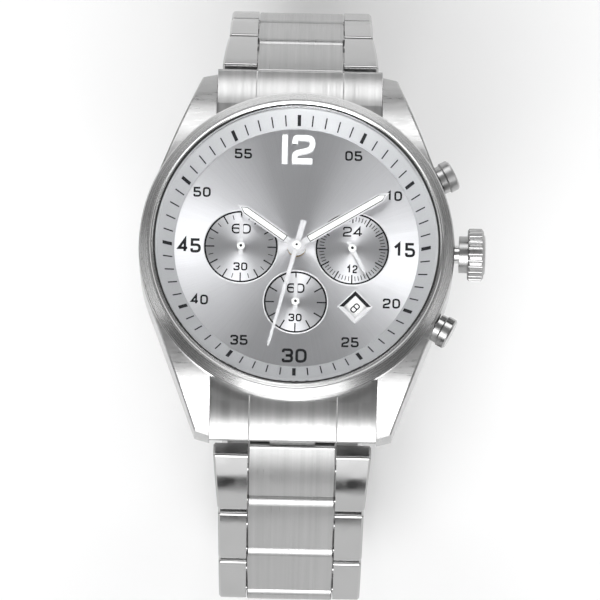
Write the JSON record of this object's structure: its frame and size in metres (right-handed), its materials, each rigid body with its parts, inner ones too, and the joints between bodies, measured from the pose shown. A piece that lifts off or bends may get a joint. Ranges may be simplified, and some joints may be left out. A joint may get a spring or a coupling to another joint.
{
  "type": "wrist chronograph",
  "caption": "Round steel wrist chronograph with a hand-wound movement, fluted crown, two push-pieces, three small dials and a three-row link bracelet closed by a folding clasp.",
  "frame": {"origin": "centre of the case back, on its outer face", "axes": "+Z out through the crystal, +Y towards 12 o'clock, +X towards 3 o'clock and the crown; stands on the folding clasp"},
  "size_m": [0.0461, 0.0826, 0.0679],
  "materials": {
    "satin_steel": "satin brushed stainless steel",
    "polished_steel": "polished stainless steel",
    "bracelet_steel": "brushed middle pieces, polished outer pieces",
    "sapphire": "clear, flat, bevelled edge",
    "gasket_black": "matt",
    "flange_grey": "fine matt light grey",
    "dial_silver": "sunray brushed silver",
    "date_white": "matt white, printed",
    "holder_plastic": "moulded ivory plastic",
    "plate_rhodium": "plated, striped and grained",
    "train_gilt": "gilt brass, fine circular grain",
    "blued_steel": "hardened steel, straight grain",
    "ruby": "polished synthetic ruby",
    "hand_polished": "polished and faceted"
  },
  "bodies": {
    "watch_case": {"case_middle": "satin_steel", "bezel": "polished_steel", "crystal": "sapphire", "crystal_gasket": "gasket_black", "flange_ring": "flange_grey", "dial": "dial_silver", "case_back": "satin_steel", "movement_ring": "holder_plastic", "case_tubes": "polished_steel", "main_plate": "plate_rhodium", "train_bridge": "plate_rhodium", "balance_cock": "plate_rhodium", "jewels": "ruby", "spring_bars": "polished_steel", "end_link_12": "satin_steel", "end_link_6": "satin_steel"},
    "stem": {"winding_stem": "blued_steel"},
    "crown": {"crown": "polished_steel"},
    "start_pusher": {"pusher_start": "polished_steel"},
    "reset_pusher": {"pusher_reset": "polished_steel"},
    "start_lever": {"start_lever": "blued_steel"},
    "reset_lever": {"reset_lever": "blued_steel"},
    "fourth": {"fourth_wheel": "train_gilt", "small_seconds_hand": "hand_polished"},
    "third": {"third_wheel": "train_gilt"},
    "centre": {"centre_wheel": "train_gilt", "minute_hand": "hand_polished"},
    "barrel": {"mainspring_barrel": "train_gilt"},
    "minute_works": {"minute_wheel": "train_gilt"},
    "hour": {"hour_wheel": "train_gilt", "hour_hand": "hand_polished"},
    "day_idler": {"day_idler": "train_gilt"},
    "day": {"day_wheel": "train_gilt", "day_hand": "hand_polished"},
    "escape": {"escape_wheel": "blued_steel"},
    "pallet": {"pallet_fork": "blued_steel"},
    "balance": {"balance_wheel": "train_gilt"},
    "chrono": {"chrono_wheel": "train_gilt", "chrono_seconds_hand": "hand_polished"},
    "counter_idler": {"counter_idler": "train_gilt"},
    "counter": {"minute_counter_wheel": "train_gilt", "minute_counter_hand": "hand_polished"},
    "date": {"date_ring": "date_white"},
    "clasp_cover": {"clasp_cover": "satin_steel"},
    "long_leaf": {"clasp_long_leaf": "satin_steel"},
    "short_leaf": {"clasp_short_leaf": "satin_steel"},
    "link_12_1": {"link_12_1": "bracelet_steel"},
    "link_6_1": {"link_6_1": "bracelet_steel"},
    "link_12_2": {"link_12_2": "bracelet_steel"},
    "link_6_2": {"link_6_2": "bracelet_steel"},
    "link_12_3": {"link_12_3": "bracelet_steel"},
    "link_6_3": {"link_6_3": "bracelet_steel"},
    "link_12_4": {"link_12_4": "bracelet_steel"},
    "link_6_4": {"link_6_4": "bracelet_steel"},
    "link_12_5": {"link_12_5": "bracelet_steel"},
    "link_6_5": {"link_6_5": "bracelet_steel"},
    "link_12_6": {"link_12_6": "bracelet_steel"},
    "link_6_6": {"link_6_6": "bracelet_steel"},
    "link_12_7": {"link_12_7": "bracelet_steel"},
    "link_6_7": {"link_6_7": "bracelet_steel"}
  },
  "joints": [
    {"name": "small_seconds_turn", "type": "hinge", "parent": "watch_case", "child": "fourth", "pos_m": [0, -0.0074, 0.004], "axis": [0, 0, 1], "continuous": true},
    {"name": "third_wheel_turn", "type": "hinge", "parent": "watch_case", "child": "third", "pos_m": [-0.00272, -0.00414, 0.004], "axis": [0, 0, 1], "continuous": true},
    {"name": "minute_hand_turn", "type": "hinge", "parent": "watch_case", "child": "centre", "pos_m": [0, 0, 0.004], "axis": [0, 0, 1], "continuous": true},
    {"name": "barrel_turn", "type": "hinge", "parent": "watch_case", "child": "barrel", "pos_m": [-0.00201, 0.00553, 0.004], "axis": [0, 0, 1], "continuous": true},
    {"name": "minute_wheel_turn", "type": "hinge", "parent": "watch_case", "child": "minute_works", "pos_m": [-0.00229, 0.00132, 0.004], "axis": [0, 0, 1], "continuous": true},
    {"name": "hour_hand_turn", "type": "hinge", "parent": "watch_case", "child": "hour", "pos_m": [0, 0, 0.004], "axis": [0, 0, 1], "continuous": true},
    {"name": "day_idler_turn", "type": "hinge", "parent": "watch_case", "child": "day_idler", "pos_m": [0.00262, 0.00084, 0.004], "axis": [0, 0, 1], "continuous": true},
    {"name": "day_hand_turn", "type": "hinge", "parent": "watch_case", "child": "day", "pos_m": [0.0074, 0, 0.004], "axis": [0, 0, 1], "continuous": true},
    {"name": "escape_wheel_turn", "type": "hinge", "parent": "watch_case", "child": "escape", "pos_m": [0.00372, -0.00875, 0.004], "axis": [0, 0, 1], "continuous": true},
    {"name": "pallet_fork_swing", "type": "hinge", "parent": "watch_case", "child": "pallet", "pos_m": [0.00545, -0.00702, 0.0036], "axis": [0, 0, 1], "range_deg": [-5, 5]},
    {"name": "balance_swing", "type": "hinge", "parent": "watch_case", "child": "balance", "pos_m": [0.00811, -0.00437, 0.0032], "axis": [0, 0, 1], "range_deg": [-30, 30]},
    {"name": "chrono_seconds_turn", "type": "hinge", "parent": "watch_case", "child": "chrono", "pos_m": [0, 0, 0.005], "axis": [0, 0, 1], "continuous": true},
    {"name": "counter_idler_turn", "type": "hinge", "parent": "watch_case", "child": "counter_idler", "pos_m": [-0.0038, 0, 0.0017], "axis": [0, 0, 1], "continuous": true},
    {"name": "minute_counter_turn", "type": "hinge", "parent": "watch_case", "child": "counter", "pos_m": [-0.0074, 0, 0.0017], "axis": [0, 0, 1], "continuous": true},
    {"name": "date_ring_turn", "type": "hinge", "parent": "watch_case", "child": "date", "pos_m": [0, 0, 0.0078], "axis": [0, 0, 1], "continuous": true},
    {"name": "crown_pull", "type": "slide", "parent": "watch_case", "child": "stem", "axis": [1, 0, 0], "range_m": [0, 0.0012]},
    {"name": "crown_turn", "type": "hinge", "parent": "stem", "child": "crown", "pos_m": [0.0239, 0, 0.0069], "axis": [1, 0, 0], "continuous": true},
    {"name": "start_pusher_press", "type": "slide", "parent": "watch_case", "child": "start_pusher", "axis": [-0.8829, -0.4695, 0], "range_m": [0, 0.0007], "stiffness_N_per_m": 3000},
    {"name": "start_lever_swing", "type": "hinge", "parent": "watch_case", "child": "start_lever", "pos_m": [0.00887, 0.00951, 0.0016], "axis": [0, 0, 1], "range_deg": [-11.13, 0]},
    {"name": "reset_pusher_press", "type": "slide", "parent": "watch_case", "child": "reset_pusher", "axis": [-0.8829, 0.4695, 0], "range_m": [0, 0.0007], "stiffness_N_per_m": 3000},
    {"name": "reset_lever_swing", "type": "hinge", "parent": "watch_case", "child": "reset_lever", "pos_m": [0.00887, -0.00951, 0.0016], "axis": [0, 0, 1], "range_deg": [0, 11.13]},
    {"name": "bracelet_12_unroll", "type": "hinge", "parent": "watch_case", "child": "link_12_1", "pos_m": [0, 0.02368, 0.00376], "axis": [1, 0, 0], "range_deg": [0, 29.3]},
    {"name": "link_12_2_turn", "type": "hinge", "parent": "link_12_1", "child": "link_12_2", "pos_m": [0, 0.03128, -0.00507], "axis": [1, 0, 0], "range_deg": [0, 11]},
    {"name": "link_12_3_turn", "type": "hinge", "parent": "link_12_2", "child": "link_12_3", "pos_m": [0, 0.03623, -0.01376], "axis": [1, 0, 0], "range_deg": [0, 8.7]},
    {"name": "link_12_4_turn", "type": "hinge", "parent": "link_12_3", "child": "link_12_4", "pos_m": [0, 0.03982, -0.02309], "axis": [1, 0, 0], "range_deg": [0, 37]},
    {"name": "link_12_5_turn", "type": "hinge", "parent": "link_12_4", "child": "link_12_5", "pos_m": [0, 0.03706, -0.03271], "axis": [1, 0, 0], "range_deg": [0, 2]},
    {"name": "link_12_6_turn", "type": "hinge", "parent": "link_12_5", "child": "link_12_6", "pos_m": [0, 0.03397, -0.04222], "axis": [1, 0, 0], "range_deg": [0, 21.95]},
    {"name": "link_12_7_turn", "type": "hinge", "parent": "link_12_6", "child": "link_12_7", "pos_m": [0, 0.02755, -0.04988], "axis": [1, 0, 0], "range_deg": [0, 30.05]},
    {"name": "bracelet_6_unroll", "type": "hinge", "parent": "watch_case", "child": "link_6_1", "pos_m": [0, -0.02368, 0.00376], "axis": [1, 0, 0], "range_deg": [-29.3, 0]},
    {"name": "link_6_2_turn", "type": "hinge", "parent": "link_6_1", "child": "link_6_2", "pos_m": [0, -0.03128, -0.00507], "axis": [1, 0, 0], "range_deg": [-11, 0]},
    {"name": "link_6_3_turn", "type": "hinge", "parent": "link_6_2", "child": "link_6_3", "pos_m": [0, -0.03623, -0.01376], "axis": [1, 0, 0], "range_deg": [-8.7, 0]},
    {"name": "link_6_4_turn", "type": "hinge", "parent": "link_6_3", "child": "link_6_4", "pos_m": [0, -0.03982, -0.02309], "axis": [1, 0, 0], "range_deg": [-37, 0]},
    {"name": "link_6_5_turn", "type": "hinge", "parent": "link_6_4", "child": "link_6_5", "pos_m": [0, -0.03706, -0.03271], "axis": [1, 0, 0], "range_deg": [-6, 0]},
    {"name": "link_6_6_turn", "type": "hinge", "parent": "link_6_5", "child": "link_6_6", "pos_m": [0, -0.03397, -0.04222], "axis": [1, 0, 0], "range_deg": [-21.95, 0]},
    {"name": "link_6_7_turn", "type": "hinge", "parent": "link_6_6", "child": "link_6_7", "pos_m": [0, -0.02755, -0.04988], "axis": [1, 0, 0], "range_deg": [-30.05, 0]},
    {"name": "clasp_cover_turn", "type": "hinge", "parent": "link_12_7", "child": "clasp_cover", "pos_m": [0, 0.01815, -0.0533], "axis": [1, 0, 0], "range_deg": [-15, 10]},
    {"name": "clasp_open", "type": "hinge", "parent": "clasp_cover", "child": "long_leaf", "pos_m": [0, -0.01385, -0.05413], "axis": [1, 0, 0], "range_deg": [0, 60]},
    {"name": "clasp_short_leaf_turn", "type": "hinge", "parent": "long_leaf", "child": "short_leaf", "pos_m": [0, 0.01095, -0.05353], "axis": [1, 0, 0], "range_deg": [-90, 0]}
  ],
  "couplings": [
    {"joint": "third_wheel_turn", "follows": "small_seconds_turn", "ratio": -0.13333},
    {"joint": "minute_hand_turn", "follows": "small_seconds_turn", "ratio": 0.016667},
    {"joint": "barrel_turn", "follows": "small_seconds_turn", "ratio": -0.0027778},
    {"joint": "minute_wheel_turn", "follows": "small_seconds_turn", "ratio": -0.0055556},
    {"joint": "hour_hand_turn", "follows": "small_seconds_turn", "ratio": 0.0013889},
    {"joint": "day_idler_turn", "follows": "small_seconds_turn", "ratio": -0.0046296},
    {"joint": "day_hand_turn", "follows": "small_seconds_turn", "ratio": 0.00069444},
    {"joint": "escape_wheel_turn", "follows": "small_seconds_turn", "ratio": -10},
    {"joint": "counter_idler_turn", "follows": "chrono_seconds_turn", "ratio": -0.083333},
    {"joint": "minute_counter_turn", "follows": "chrono_seconds_turn", "ratio": 0.016667},
    {"joint": "start_lever_swing", "follows": "start_pusher_press", "rad_per_m": -272},
    {"joint": "reset_lever_swing", "follows": "reset_pusher_press", "rad_per_m": 272},
    {"joint": "link_12_2_turn", "follows": "bracelet_12_unroll", "ratio": 0.37543},
    {"joint": "link_12_3_turn", "follows": "bracelet_12_unroll", "ratio": 0.29693},
    {"joint": "link_12_4_turn", "follows": "bracelet_12_unroll", "ratio": 1.2628},
    {"joint": "link_12_5_turn", "follows": "bracelet_12_unroll", "ratio": 0.068259},
    {"joint": "link_12_6_turn", "follows": "bracelet_12_unroll", "ratio": 0.74915},
    {"joint": "link_12_7_turn", "follows": "bracelet_12_unroll", "ratio": 1.0256},
    {"joint": "link_6_2_turn", "follows": "bracelet_6_unroll", "ratio": 0.37543},
    {"joint": "link_6_3_turn", "follows": "bracelet_6_unroll", "ratio": 0.29693},
    {"joint": "link_6_4_turn", "follows": "bracelet_6_unroll", "ratio": 1.2628},
    {"joint": "link_6_5_turn", "follows": "bracelet_6_unroll", "ratio": 0.20478},
    {"joint": "link_6_6_turn", "follows": "bracelet_6_unroll", "ratio": 0.74915},
    {"joint": "link_6_7_turn", "follows": "bracelet_6_unroll", "ratio": 1.0256},
    {"joint": "clasp_short_leaf_turn", "follows": "clasp_open", "ratio": -1.5}
  ]
}
